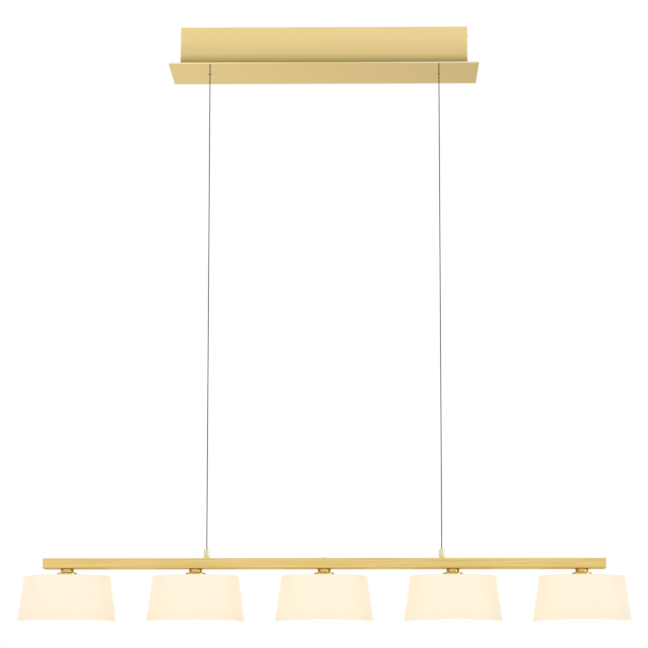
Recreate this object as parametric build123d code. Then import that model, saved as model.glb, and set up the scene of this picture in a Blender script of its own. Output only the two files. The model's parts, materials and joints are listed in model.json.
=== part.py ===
from build123d import *
import math
import os

# A long pendant light for over a table. Five opal glass shades hang under a brass-toned bar. The bar
# hangs on two thin steel cables, and these wind onto spring reels in a long canopy on the ceiling.
# The origin lies on the ceiling over the middle of the light. +X runs along the bar and +Z is up.
# Every size is in millimetres, and left is the -X side.

os.makedirs("parts", exist_ok=True)

# Clearances that several pieces share
fit_gap = 0.3
thread_gap = 0.05
cut_overrun = 2.0

# The layout of the light
lamp_count = 5
shade_gap = 62.5
cable_spacing = 482.0
cable_radius = 1.0
ceiling_to_bar = 1104.0

# Ceiling bracket, a flat steel strip with a turned-down tab at each end
bracket_thickness = 2.0
bracket_side_gap = 21.3
bracket_tab_drop = 24.0
ceiling_slot_inset = 29.0
ceiling_slot_length = 24.0
ceiling_slot_width = 5.4
mains_hole_radius = 10.0
mains_hole_gap = 20.0

# Canopy housing, a folded box that is open above and has a turned-in lip below
housing_overhang = 58.0
housing_depth = 123.0
housing_wall = 1.2
housing_lip = 14.0
housing_corner = 1.5

# Cover plate, wider than the housing all round
plate_end_overhang = 23.0
plate_side_overhang = 24.0
plate_thickness = 3.0
plate_corner = 1.0
plate_bevel = 0.3

# Screws: the size of the shank, the head and its hexagon socket
screw_radius = 2.0
screw_head_radius = 3.6
screw_head_height = 2.2
screw_socket_radius = 1.3
screw_socket_depth = 1.2
housing_screw_inset = 9.0
housing_screw_length = 6.0
plate_screw_inset = 19.0
plate_skin = 0.7

# Led driver and mains terminal, fixed under the bracket
driver_length = 190.0
driver_depth = 44.0
driver_height = 30.0
driver_corner = 2.5
driver_offset = -30.0
ear_length = 12.0
ear_width = 14.0
ear_thickness = 2.0
terminal_gap = 1.0
terminal_length = 30.0
terminal_depth = 18.0
terminal_height = 15.0
terminal_wire_radius = 2.2
terminal_wire_pitch = 9.0

# Spring reels: a drum, its lid, an axle with an arbor, a spiral spring and a riveted frame
drum_core_radius = 20.0
drum_flange_radius = 28.0
drum_wall = 2.5
drum_width = 22.0
lid_thickness = 1.5
axle_radius = 3.0
axle_clearance = 0.05
arbor_radius = 5.5
rivet_head_radius = 5.0
rivet_head_height = 1.5
frame_thickness = 2.0
frame_side_gap = 0.5
frame_width = 44.0
frame_foot = 9.0
frame_screw_inset = 7.0
reel_headroom = 2.0
reel_footroom = 19.0
spring_strip = 0.5
spring_pitch = 1.5
spring_points_per_turn = 12

# Cable guides, pressed into the cover plate
guide_radius = 4.0
guide_rise = 3.0
guide_flange_radius = 6.0
guide_flange_height = 0.8
guide_throat_gap = 0.35
guide_flare = 1.5
pivot_rise_share = 2 / 3

# Low-voltage leads from the driver to the reels
lead_radius = 1.2

# Bar, a hollow extrusion with rails for the circuit board, closed by two end caps
bar_overhang = 48.0
bar_depth = 44.0
bar_height = 20.6
bar_wall = 2.0
bar_corner = 0.8
rail_width = 1.5
rail_height = 1.2
board_gap = 1.5
board_thickness = 1.6
end_cap_thickness = 2.0
end_cap_plug = 8.0

# Cable sleeves on the bar, each on an insulating bush and held by a nut inside
sleeve_radius = 6.15
sleeve_height = 18.0
sleeve_edge = 0.8
sleeve_bore_gap = 0.25
sleeve_stud_radius = 3.0
cable_grip = 15.0
bush_flange_width = 0.85
bush_flange_height = 1.0
bush_radius = 5.0
bush_end = 0.8
sleeve_nut_flat = 10.0
sleeve_nut_height = 3.0

# Dimmer button in the top of the bar, with its spring and switch
button_radius = 7.5
button_proud = 0.9
button_dome = 1.6
button_flange_width = 1.3
button_flange_height = 1.0
button_travel = 1.2
button_gap = 0.1
switch_size = 13.0
switch_height_share = 0.55
plunger_radius = 2.0
spring_radius = 4.5
spring_wire_radius = 0.3
spring_seat_gap = 0.1
spring_turns = 2

# Lamp neck, one turned piece with a threaded stud above and a flared flange below
neck_radius = 13.5
neck_height = 15.6
neck_bore_radius = 3.0
neck_stud_radius = 5.0
neck_stud_tip = 1.0
neck_nut_flat = 14.0
neck_nut_height = 3.5
flange_radius = 21.4
flange_rim = 7.2
flange_flare = 3.4
flange_edge = 1.1
neck_wall = 2.5
neck_socket_depth = 8.0

# Lamp holder, which screws into the neck and carries the glass on a ring
holder_wall = 3.7
holder_drop = 23.0
holder_stem_radius = 2.0
holder_mouth_depth = 12.0
ring_radius = 22.0
ring_height = 4.0
ring_edge = 0.8

# Plug-in led bulb
bulb_base_radius = 9.0
bulb_radius = 9.5
bulb_length = 37.0
bulb_pin_radius = 0.5
bulb_pin_length = 7.0
bulb_pin_spacing = 8.0

# Opal glass shade, a tapered drum that is closed above and open below
shade_top_radius = 87.5
shade_bottom_radius = 100.5
shade_height = 91.6
shade_wall = 3.2
shade_shoulder = 3.6
shade_rim_edge = 1.3

# Heights, measured from the ceiling
bracket_under = -bracket_thickness
reel_level = bracket_under - frame_thickness - reel_headroom - drum_flange_radius
plate_top = reel_level - drum_flange_radius - reel_footroom
plate_under = plate_top - plate_thickness
pivot_level = plate_under + pivot_rise_share * plate_thickness
bar_top = -ceiling_to_bar
bar_ceiling = bar_top - bar_wall
bar_under = bar_top - bar_height
bar_floor = bar_under + bar_wall
neck_stud_top = bar_floor + neck_nut_height + neck_stud_tip
board_under = neck_stud_top + board_gap
board_top = board_under + board_thickness
button_seat = bar_ceiling - button_gap
button_under = button_seat - button_flange_height
switch_top = board_top + switch_height_share * (button_under - board_top)
sleeve_foot = bar_top + bush_flange_height
sleeve_top = sleeve_foot + sleeve_height
cable_end = sleeve_top - cable_grip
shade_seat = bar_under - neck_height
shade_ceiling = shade_seat - shade_wall
shade_rim = shade_seat - shade_height
holder_end = shade_seat - holder_drop

# Places across the light
sides = {"left": -1, "right": 1}
lamp_pitch = 2 * shade_bottom_radius + shade_gap
lamp_places = [(index - (lamp_count - 1) / 2) * lamp_pitch for index in range(lamp_count)]
bar_length = (lamp_count - 1) * lamp_pitch + 2 * bar_overhang
cable_place = cable_spacing / 2
reel_place = cable_place - drum_core_radius - fit_gap - cable_radius
frame_inner_half = drum_width / 2 + frame_side_gap
driver_ends = [driver_offset + side * driver_length / 2 for side in (-1, 1)]
terminal_place = driver_ends[1] + 2 * ear_length + terminal_gap + terminal_length / 2
mains_hole_place = terminal_place + terminal_length / 2 + mains_hole_gap + mains_hole_radius

# The canopy's outline and the places that follow it
housing_length = cable_spacing + 2 * housing_overhang
housing_inner_half = housing_depth / 2 - housing_wall
bracket_half = housing_length / 2 - housing_wall - fit_gap
bracket_depth = 2 * (housing_inner_half - bracket_side_gap)
ceiling_slot_spacing = housing_length - 2 * ceiling_slot_inset
plate_length = housing_length + 2 * plate_end_overhang
plate_depth = housing_depth + 2 * plate_side_overhang
plate_screw_length = housing_wall + plate_thickness - plate_skin - fit_gap

# Radii that follow what they hold or carry
drum_can_radius = drum_core_radius - drum_wall
guide_throat_radius = cable_radius + guide_throat_gap
guide_mouth_radius = guide_throat_radius + guide_flare
sleeve_bore_radius = cable_radius + sleeve_bore_gap
bush_flange_radius = sleeve_radius + bush_flange_width
button_flange_radius = button_radius + button_flange_width
neck_socket_radius = neck_radius - neck_wall
holder_mouth_radius = bulb_base_radius + fit_gap
holder_radius = holder_mouth_radius + holder_wall


def block(length, depth, low, high, x=0, y=0):
    """A straight block that stands between two heights."""
    return Pos(x, y, (low + high) / 2) * Box(length, depth, high - low)


def post(radius, low, high, x=0, y=0):
    """A round post that stands between two heights."""
    return Pos(x, y, (low + high) / 2) * Cylinder(radius, high - low)


def turned(*corners):
    """A solid turned about the Z axis from corners of (radius, height, rounding)."""
    path = FilletPolyline(
        *[(radius, height) for radius, height, rounding in corners],
        radius=[rounding for radius, height, rounding in corners],
        close=True,
    )
    return revolve(Plane.XZ * make_face(path.edges()), Axis.Z)


def hexagon(flat, low, high, x=0, y=0):
    """A hexagonal prism, given the distance between two opposite flats."""
    face = RegularPolygon(flat / 2, side_count=6, major_radius=False)
    return Pos(x, y, low) * extrude(face, amount=high - low)


def screw(length):
    """A round-headed screw. The seat of its head is at zero and its shank points down."""
    head = turned(
        (0, 0, 0),
        (screw_head_radius, 0, 0),
        (screw_head_radius, screw_head_height, screw_head_height / 2),
        (0, screw_head_height, 0),
    )
    socket = hexagon(2 * screw_socket_radius, screw_head_height - screw_socket_depth, screw_head_height)
    return head + post(screw_radius, -length, 0) - socket


def ear_places():
    """The middles of the driver's two ears and of the terminal's ear."""
    driver = [end + side * ear_length / 2 for end, side in zip(driver_ends, (-1, 1))]
    return driver + [terminal_place - (terminal_length + ear_length) / 2]


def frame_screw_places(side):
    """The two screws of one reel frame."""
    spread = frame_width / 2 - frame_screw_inset
    return [side * reel_place + step * spread for step in (-1, 1)]


def housing_screw_places():
    """The side and the depth of each screw in the housing's ends."""
    spread = bracket_depth / 2 - housing_screw_inset
    return [(side, step * spread) for side in (-1, 1) for step in (-1, 1)]


def ceiling_bracket():
    """The strip on the ceiling, with two slots, the mains hole and threaded holes for the screws."""
    length = 2 * bracket_half
    strip = block(length, bracket_depth, -bracket_tab_drop, 0)
    strip -= block(
        length - 2 * bracket_thickness,
        bracket_depth + 2 * cut_overrun,
        -bracket_tab_drop - cut_overrun,
        bracket_under,
    )
    slot = extrude(
        SlotOverall(ceiling_slot_length, ceiling_slot_width), amount=bracket_thickness + 2 * cut_overrun
    )
    for side in (-1, 1):
        strip -= Pos(side * ceiling_slot_spacing / 2, 0, bracket_under - cut_overrun) * slot
    for side, y in housing_screw_places():
        hole = Cylinder(screw_radius + thread_gap, 2 * (bracket_thickness + cut_overrun))
        strip -= Pos(side * bracket_half, y, -bracket_tab_drop / 2) * Rot(0, 90, 0) * hole
    strip -= post(mains_hole_radius, bracket_under - cut_overrun, cut_overrun, mains_hole_place)
    for x in ear_places() + frame_screw_places(-1) + frame_screw_places(1):
        strip -= post(screw_radius + thread_gap, bracket_under - cut_overrun, cut_overrun, x)
    return strip


def canopy_housing():
    """The folded box round the reels and the driver."""
    shell = block(housing_length, housing_depth, plate_top, 0)
    shell = fillet(shell.edges().filter_by(Axis.Z), housing_corner)
    inner_length = housing_length - 2 * housing_wall
    shell -= block(inner_length, 2 * housing_inner_half, plate_top + housing_wall, cut_overrun)
    shell -= block(
        housing_length - 2 * housing_lip,
        housing_depth - 2 * housing_lip,
        plate_top - cut_overrun,
        plate_top + housing_wall + cut_overrun,
    )
    for side, y in housing_screw_places():
        hole = Cylinder(screw_radius + thread_gap, 2 * (housing_wall + cut_overrun))
        shell -= Pos(side * housing_length / 2, y, -bracket_tab_drop / 2) * Rot(0, 90, 0) * hole
    for x, y in plate_screw_places():
        shell -= post(
            screw_radius + thread_gap, plate_top - cut_overrun, plate_top + housing_wall + cut_overrun, x, y
        )
    return shell


def plate_screw_places():
    """Six screws through the middle of the housing's lip."""
    x = housing_length / 2 - plate_screw_inset
    y = housing_depth / 2 - (housing_wall + housing_lip) / 2
    return [(step * x, side * y) for step in (-1, 0, 1) for side in (-1, 1)]


def cover_plate():
    """The wide plate that closes the canopy, with a hole for each cable guide."""
    plate = block(plate_length, plate_depth, plate_under, plate_top)
    plate = fillet(plate.edges().filter_by(Axis.Z), plate_corner)
    flat_faces = plate.faces().sort_by(Axis.Z)
    plate = chamfer(flat_faces[0].edges() + flat_faces[-1].edges(), plate_bevel)
    for side in (-1, 1):
        plate -= post(
            guide_radius + thread_gap, plate_under - cut_overrun, plate_top + cut_overrun, side * cable_place
        )
    blind = plate_top + housing_wall - plate_screw_length - fit_gap
    for x, y in plate_screw_places():
        plate -= post(screw_radius + thread_gap, blind, plate_top + cut_overrun, x, y)
    return plate


def housing_screws():
    """Two screws through each end of the housing into the bracket's tabs."""
    return [
        Pos(side * housing_length / 2, y, -bracket_tab_drop / 2)
        * Rot(0, side * 90, 0)
        * screw(housing_screw_length)
        for side, y in housing_screw_places()
    ]


def plate_screws():
    """The screws that hold the cover plate to the lip, put in from above."""
    return [Pos(x, y, plate_top + housing_wall) * screw(plate_screw_length) for x, y in plate_screw_places()]


def bracket_screws():
    """The screws from below that hold the driver, the terminal and the reel frames to the bracket."""
    screws = []
    frame_places = frame_screw_places(-1) + frame_screw_places(1)
    for places, thickness in ((ear_places(), ear_thickness), (frame_places, frame_thickness)):
        length = thickness + bracket_thickness - fit_gap
        screws += [Pos(x, 0, bracket_under - thickness) * Rot(180, 0, 0) * screw(length) for x in places]
    return screws


def ear(x):
    """A fixing ear flat against the bracket, with a hole for its screw."""
    low = bracket_under - ear_thickness
    lug = block(ear_length, ear_width, low, bracket_under, x)
    return lug - post(screw_radius + thread_gap, low - cut_overrun, bracket_under + cut_overrun, x)


def led_driver():
    """The low-voltage supply, a closed case with an ear at each end."""
    case = block(driver_length, driver_depth, bracket_under - driver_height, bracket_under, driver_offset)
    lower = case.edges().group_by(Axis.Z)[0]
    case = fillet(lower + case.edges().filter_by(Axis.Z), driver_corner)
    left_ear, right_ear, terminal_ear = ear_places()
    return case + ear(left_ear) + ear(right_ear)


def mains_terminal():
    """The block that joins the mains wires to the driver, with three ways."""
    body = block(
        terminal_length, terminal_depth, bracket_under - terminal_height, bracket_under, terminal_place
    )
    middle = bracket_under - terminal_height / 2
    for step in (-1, 0, 1):
        x = terminal_place + step * terminal_wire_pitch
        way = Cylinder(terminal_wire_radius, terminal_depth + 2 * cut_overrun)
        body -= Pos(x, 0, middle) * Rot(90, 0, 0) * way
        well_low = bracket_under - terminal_height - cut_overrun
        body -= post(terminal_wire_radius, well_low, middle, x)
    return body + ear(ear_places()[-1])


def at_reel(side, solid):
    """Lays a solid that was made about the Z axis along the reel's axle."""
    return Pos(side * reel_place, 0, reel_level) * Rot(-90, 0, 0) * solid


def reel_frame(side):
    """A web under the bracket and two cheeks that carry the axle."""
    outer_half = frame_inner_half + frame_thickness
    foot_level = reel_level - frame_foot
    x = side * reel_place
    frame = block(frame_width, 2 * outer_half, foot_level, bracket_under, x)
    rounded = [edge for edge in frame.edges().filter_by(Axis.Y) if edge.center().Z < reel_level]
    frame = fillet(rounded, frame_foot)
    frame -= block(
        frame_width + 2 * cut_overrun,
        2 * frame_inner_half,
        foot_level - cut_overrun,
        bracket_under - frame_thickness,
        x,
    )
    bore_half = outer_half + cut_overrun
    frame -= at_reel(side, post(axle_radius + axle_clearance, -bore_half, bore_half))
    for place in frame_screw_places(side):
        frame -= post(
            screw_radius + thread_gap,
            bracket_under - frame_thickness - cut_overrun,
            bracket_under + cut_overrun,
            place,
        )
    return frame


def reel_axle(side):
    """A fixed pin with riveted ends, and the thicker arbor that the spring pulls on."""
    outer = frame_inner_half + frame_thickness
    arbor_low = drum_wall + fit_gap - drum_width / 2
    arbor_high = drum_width / 2 - lid_thickness - fit_gap
    return at_reel(
        side,
        turned(
            (0, -outer - rivet_head_height, 0),
            (rivet_head_radius, -outer - rivet_head_height, rivet_head_height / 2),
            (rivet_head_radius, -outer, 0),
            (axle_radius, -outer, 0),
            (axle_radius, arbor_low, 0),
            (arbor_radius, arbor_low, 0),
            (arbor_radius, arbor_high, 0),
            (axle_radius, arbor_high, 0),
            (axle_radius, outer, 0),
            (rivet_head_radius, outer, 0),
            (rivet_head_radius, outer + rivet_head_height, rivet_head_height / 2),
            (0, outer + rivet_head_height, 0),
        ),
    )


def reel_drum(side):
    """The spool that the cable winds onto, hollow for the spring and open on its lid side."""
    half = drum_width / 2
    bearing = axle_radius + axle_clearance
    return at_reel(
        side,
        turned(
            (bearing, -half, 0),
            (drum_flange_radius, -half, 0),
            (drum_flange_radius, drum_wall - half, 0),
            (drum_core_radius, drum_wall - half, 0),
            (drum_core_radius, half - drum_wall, 0),
            (drum_flange_radius, half - drum_wall, 0),
            (drum_flange_radius, half, 0),
            (drum_can_radius, half, 0),
            (drum_can_radius, drum_wall - half, 0),
            (bearing, drum_wall - half, 0),
        ),
    )


def drum_lid(side):
    """The pressed-in lid that closes the spring's can and is the drum's second bearing."""
    half = drum_width / 2
    lid = post(drum_can_radius - thread_gap, half - lid_thickness, half)
    bearing = post(axle_radius + axle_clearance, half - lid_thickness - cut_overrun, half + cut_overrun)
    return at_reel(side, lid - bearing)


def power_spring(side):
    """A flat steel strip wound in a spiral from the arbor out to the wall of the can."""
    first = arbor_radius + fit_gap + spring_strip / 2
    last = drum_can_radius - fit_gap - spring_strip / 2
    turns = (last - first) / spring_pitch
    steps = math.ceil(turns * spring_points_per_turn)

    def edge_points(offset):
        points = []
        for step in range(steps + 1):
            radius = first + (last - first) * step / steps + offset
            angle = 2 * math.pi * turns * step / steps
            points.append((radius * math.cos(angle), radius * math.sin(angle)))
        return points

    inner = edge_points(-spring_strip / 2)
    outer = edge_points(spring_strip / 2)
    edges = [Spline(*inner), Spline(*outer), Line(inner[0], outer[0]), Line(inner[-1], outer[-1])]
    low = drum_wall + fit_gap - drum_width / 2
    high = drum_width / 2 - lid_thickness - fit_gap
    return at_reel(side, Pos(0, 0, low) * extrude(make_face(edges), amount=high - low))


def cable_guide(side):
    """A hard bush in the cover plate whose bore flares, so that the cable can swing in it."""
    low = plate_under - guide_flange_height
    high = plate_top + guide_rise
    bush = turned(
        (guide_throat_radius, high, 0),
        (guide_radius, high, 0),
        (guide_radius, plate_under, 0),
        (guide_flange_radius, plate_under, 0),
        (guide_flange_radius, low, guide_flange_height / 2),
        (guide_mouth_radius, low, 0),
        (guide_throat_radius, pivot_level, 0),
    )
    return Pos(side * cable_place, 0, 0) * bush


def cable_lead(side):
    """The cable's short run inside the canopy, from the drum down to the guide."""
    return post(cable_radius, pivot_level + fit_gap, reel_level, side * cable_place)


def suspension_cable(side):
    """The cable's long straight run, from the guide into the sleeve on the bar."""
    return post(cable_radius, cable_end, pivot_level, side * cable_place)


def supply_lead(side):
    """A lead clipped along the bracket, from the driver to the frame of a reel."""
    start = driver_ends[0] if side < 0 else driver_ends[1]
    end = side * (reel_place - frame_width / 2)
    height = bracket_under - fit_gap - lead_radius
    lead = Cylinder(lead_radius, abs(end - start))
    y = frame_inner_half + frame_thickness / 2
    return Pos((start + end) / 2, -side * y, height) * Rot(0, 90, 0) * lead


def bar_profile():
    """The extrusion, with the holes for the necks, the cable sleeves and the button."""
    length = bar_length - 2 * end_cap_thickness
    inner_half = bar_depth / 2 - bar_wall
    middle = (bar_top + bar_under) / 2
    section = Pos(0, middle) * RectangleRounded(bar_depth, bar_height, bar_corner)
    section -= Pos(0, middle) * Rectangle(2 * inner_half, bar_height - 2 * bar_wall)
    rails = (board_under - rail_height / 2, board_top + fit_gap + rail_height / 2)
    for side in (-1, 1):
        for height in rails:
            rail = Rectangle(rail_width, rail_height)
            section += Pos(side * (inner_half - rail_width / 2), height) * rail
    profile = extrude(Plane.YZ.offset(-length / 2) * section, amount=length)
    for x in lamp_places:
        profile -= post(neck_stud_radius + fit_gap, bar_under - cut_overrun, bar_floor + cut_overrun, x)
    for side in (-1, 1):
        profile -= post(
            bush_radius + thread_gap, bar_ceiling - cut_overrun, bar_top + cut_overrun, side * cable_place
        )
    return profile - post(button_radius + fit_gap, bar_ceiling - cut_overrun, bar_top + cut_overrun)


def end_cap(side):
    """A cap on the end of the bar, with a plug that fits between the rails."""
    x = side * (bar_length - end_cap_thickness) / 2
    cap = block(end_cap_thickness, bar_depth, bar_under, bar_top, x)
    cap = fillet(cap.edges().filter_by(Axis.X), bar_corner)
    outer_face = cap.faces().sort_by(Axis.X)[-1 if side > 0 else 0]
    cap = chamfer(outer_face.edges(), bar_corner / 2)
    plug_x = side * (bar_length / 2 - end_cap_thickness - end_cap_plug / 2)
    plug_depth = bar_depth - 2 * (bar_wall + rail_width + fit_gap)
    return cap + block(end_cap_plug, plug_depth, bar_floor + fit_gap, bar_ceiling - fit_gap, plug_x)


def bus_board():
    """The circuit board that feeds every lamp, held between the rails."""
    length = bar_length - 2 * (end_cap_thickness + end_cap_plug + fit_gap)
    return block(length, bar_depth - 2 * (bar_wall + fit_gap), board_under, board_top)


def insulating_bush(side):
    """A bush that keeps the live sleeve clear of the metal bar."""
    bush = turned(
        (sleeve_stud_radius + thread_gap, sleeve_foot, 0),
        (bush_flange_radius, sleeve_foot, bush_flange_height / 4),
        (bush_flange_radius, bar_top, 0),
        (bush_radius, bar_top, 0),
        (bush_radius, bar_ceiling - bush_end, 0),
        (sleeve_stud_radius + thread_gap, bar_ceiling - bush_end, 0),
    )
    return Pos(side * cable_place, 0, 0) * bush


def cable_sleeve(side):
    """The turned sleeve that grips the cable, with a stud that reaches down to the board."""
    sleeve = turned(
        (0, cable_end, 0),
        (sleeve_bore_radius, cable_end, 0),
        (sleeve_bore_radius, sleeve_top, 0),
        (sleeve_radius, sleeve_top, sleeve_edge),
        (sleeve_radius, sleeve_foot, 0),
        (sleeve_stud_radius, sleeve_foot, 0),
        (sleeve_stud_radius, board_top + fit_gap, 0),
        (0, board_top + fit_gap, 0),
    )
    return Pos(side * cable_place, 0, 0) * sleeve


def sleeve_nuts():
    """The nut on each sleeve's stud, against the end of its bush."""
    top = bar_ceiling - bush_end
    return [
        hexagon(sleeve_nut_flat, top - sleeve_nut_height, top, x)
        - post(sleeve_stud_radius + thread_gap, top - sleeve_nut_height - cut_overrun, top + cut_overrun, x)
        for x in (-cable_place, cable_place)
    ]


def dimmer_button():
    """A low domed cap whose flange keeps it in the bar."""
    dome_foot = bar_top + button_proud
    dome_top = dome_foot + button_dome
    dome_radius = (button_radius**2 + button_dome**2) / (2 * button_dome)
    half_angle = math.asin(button_radius / dome_radius) / 2
    shoulder = (dome_radius * math.sin(half_angle), dome_top - dome_radius * (1 - math.cos(half_angle)))
    corners = [(0, button_under), (button_flange_radius, button_under), (button_flange_radius, button_seat)]
    corners += [(button_radius, button_seat), (button_radius, dome_foot)]
    edges = [Line(a, b) for a, b in zip(corners, corners[1:])]
    edges += [ThreePointArc(corners[-1], shoulder, (0, dome_top)), Line((0, dome_top), corners[0])]
    return revolve(Plane.XZ * make_face(edges), Axis.Z)


def button_spring():
    """The coil that lifts the button, between its flange and the switch."""
    clear = spring_wire_radius + spring_seat_gap
    low = switch_top + clear
    height = button_under - clear - low
    coil = Helix(pitch=height / spring_turns, height=height, radius=spring_radius, center=(0, 0, low))
    start = Plane(origin=coil @ 0, z_dir=coil % 0)
    return sweep(start * Circle(spring_wire_radius), path=coil)


def dimmer_switch():
    """The switch on the board under the button, with its plunger at rest."""
    body = block(switch_size, switch_size, board_top, switch_top)
    return body + post(plunger_radius, switch_top, button_under - button_travel - fit_gap)


def neck_nuts():
    """The nut on each neck's stud, on the floor of the bar."""
    top = bar_floor + neck_nut_height
    return [
        hexagon(neck_nut_flat, bar_floor, top, x)
        - post(neck_stud_radius + thread_gap, bar_floor - cut_overrun, top + cut_overrun, x)
        for x in lamp_places
    ]


def lamp_neck(x):
    """The turned neck between the bar and the glass."""
    flare_foot = shade_seat + flange_rim
    socket_top = shade_seat + neck_socket_depth
    neck = turned(
        (neck_bore_radius, neck_stud_top, 0),
        (neck_stud_radius, neck_stud_top, 0),
        (neck_stud_radius, bar_under, 0),
        (neck_radius, bar_under, 0),
        (neck_radius, flare_foot, flange_flare),
        (flange_radius, flare_foot, flange_edge),
        (flange_radius, shade_seat, flange_edge),
        (neck_socket_radius, shade_seat, 0),
        (neck_socket_radius, socket_top, 0),
        (neck_bore_radius, socket_top, 0),
    )
    return Pos(x, 0, 0) * neck


def lamp_holder(x):
    """The holder, with a contact stem up through the neck and a round mouth for the bulb."""
    socket_top = shade_seat + neck_socket_depth
    mouth_top = holder_end + holder_mouth_depth
    holder = turned(
        (0, board_under - fit_gap, 0),
        (holder_stem_radius, board_under - fit_gap, 0),
        (holder_stem_radius, socket_top - fit_gap, 0),
        (neck_socket_radius - thread_gap, socket_top - fit_gap, 0),
        (neck_socket_radius - thread_gap, shade_seat, 0),
        (holder_radius, shade_seat, 0),
        (holder_radius, holder_end, 0),
        (holder_mouth_radius, holder_end, 0),
        (holder_mouth_radius, mouth_top, 0),
        (0, mouth_top, 0),
    )
    pin_hole_top = mouth_top + bulb_pin_length + fit_gap
    for side in (-1, 1):
        pin_x = side * bulb_pin_spacing / 2
        holder -= post(bulb_pin_radius + thread_gap, mouth_top - cut_overrun, pin_hole_top, pin_x)
    return Pos(x, 0, 0) * holder


def shade_rings():
    """The threaded ring under each glass, which clamps it against the neck."""
    return [
        Pos(x, 0, 0)
        * turned(
            (holder_radius + thread_gap, shade_ceiling, 0),
            (ring_radius, shade_ceiling, 0),
            (ring_radius, shade_ceiling - ring_height, ring_edge),
            (holder_radius + thread_gap, shade_ceiling - ring_height, 0),
        )
        for x in lamp_places
    ]


def led_bulb(x):
    """A capsule bulb with a round base and two pins."""
    base_top = holder_end + holder_mouth_depth - fit_gap
    tip = holder_end - bulb_length
    bulb = turned(
        (0, base_top, 0),
        (bulb_base_radius, base_top, 0),
        (bulb_base_radius, holder_end - fit_gap, 0),
        (bulb_radius, holder_end - fit_gap, 0),
        (bulb_radius, tip + bulb_radius, 0),
        (0, tip + bulb_radius, 0),
    )
    tip_ball = Pos(0, 0, tip + bulb_radius) * Sphere(bulb_radius)
    bulb += tip_ball & post(bulb_radius, tip, tip + bulb_radius)
    for side in (-1, 1):
        pin_x = side * bulb_pin_spacing / 2
        bulb += post(bulb_pin_radius, base_top, base_top + bulb_pin_length, pin_x)
    return Pos(x, 0, 0) * bulb


def opal_shade(x):
    """The tapered glass drum, with a hole in its top for the holder."""
    hole = holder_radius + fit_gap
    shade = turned(
        (hole, shade_seat, 0),
        (shade_top_radius, shade_seat, shade_shoulder),
        (shade_bottom_radius, shade_rim, shade_rim_edge),
        (shade_bottom_radius - shade_wall, shade_rim, shade_rim_edge),
        (shade_top_radius - shade_wall, shade_ceiling, shade_shoulder - shade_wall),
        (hole, shade_ceiling, 0),
    )
    return Pos(x, 0, 0) * shade


def write(name, solids):
    """Writes one piece, or a group of identical pieces, as a file of its own."""
    shape = Compound(children=list(solids)) if isinstance(solids, list) else solids
    export_step(shape, f"parts/{name}.step")


single_pieces = [
    ceiling_bracket,
    canopy_housing,
    cover_plate,
    housing_screws,
    plate_screws,
    bracket_screws,
    led_driver,
    mains_terminal,
    bar_profile,
    bus_board,
    sleeve_nuts,
    dimmer_button,
    button_spring,
    dimmer_switch,
    neck_nuts,
    shade_rings,
]
paired_pieces = [
    reel_frame,
    reel_axle,
    reel_drum,
    drum_lid,
    power_spring,
    cable_guide,
    cable_lead,
    suspension_cable,
    supply_lead,
    end_cap,
    insulating_bush,
    cable_sleeve,
]
lamp_pieces = [lamp_neck, lamp_holder, led_bulb, opal_shade]

for make in single_pieces:
    write(make.__name__, make())
for make in paired_pieces:
    for side_name, side_sign in sides.items():
        write(f"{make.__name__}_{side_name}", make(side_sign))
for make in lamp_pieces:
    for number, place in enumerate(lamp_places, start=1):
        write(f"{make.__name__}_{number}", make(place))
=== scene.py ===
import json
import math

import bmesh
import bpy
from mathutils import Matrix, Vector


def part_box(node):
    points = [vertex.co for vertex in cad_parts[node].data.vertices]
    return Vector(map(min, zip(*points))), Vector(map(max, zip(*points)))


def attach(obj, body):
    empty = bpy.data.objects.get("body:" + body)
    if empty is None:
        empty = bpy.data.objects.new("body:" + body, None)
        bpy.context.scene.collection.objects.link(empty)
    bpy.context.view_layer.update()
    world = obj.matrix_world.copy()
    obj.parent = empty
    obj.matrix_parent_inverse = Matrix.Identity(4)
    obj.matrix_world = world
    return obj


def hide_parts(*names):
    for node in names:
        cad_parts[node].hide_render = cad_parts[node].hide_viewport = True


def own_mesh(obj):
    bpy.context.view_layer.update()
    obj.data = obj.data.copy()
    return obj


# The looks of a long pendant light: a brass-toned canopy, two steel cables, a brushed bar and five
# opal glass shades. Every length is in metres, in the part's own frame.

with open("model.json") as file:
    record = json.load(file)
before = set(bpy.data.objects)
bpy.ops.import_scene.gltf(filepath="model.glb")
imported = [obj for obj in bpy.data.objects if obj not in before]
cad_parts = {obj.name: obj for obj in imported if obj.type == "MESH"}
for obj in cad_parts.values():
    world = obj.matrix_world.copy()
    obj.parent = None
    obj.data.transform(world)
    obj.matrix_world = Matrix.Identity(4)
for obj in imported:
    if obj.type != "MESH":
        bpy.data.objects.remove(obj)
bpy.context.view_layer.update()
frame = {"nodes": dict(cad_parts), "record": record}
nodes = frame["nodes"]

MM = 0.001
LAMPS = range(1, 6)
SIDES = ("left", "right")


# Places, read from the frame

def middle(node):
    """The middle of a node's box."""
    low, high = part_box(node)
    return (low + high) / 2


bar_low, bar_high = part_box("bar_profile")
housing_low, housing_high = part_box("canopy_housing")
shade_low, shade_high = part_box("opal_shade_3")
neck_low, neck_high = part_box("lamp_neck_3")
sleeve_low, sleeve_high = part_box("cable_sleeve_left")
cable_low, cable_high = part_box("suspension_cable_left")
bulb_low, bulb_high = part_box("led_bulb_3")


# The camera stands at the photograph's place: below the canopy, a little right of the middle

CAMERA_PLACE = (0.0916, -5.2, bar_high.z - 0.3247)
CAMERA_PITCH = math.radians(7.99)
CAMERA_YAW = math.radians(0.838)
LENS_MM = 140.82
SENSOR_MM = 36.0
SHIFT = (-0.012, 0.060)


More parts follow.
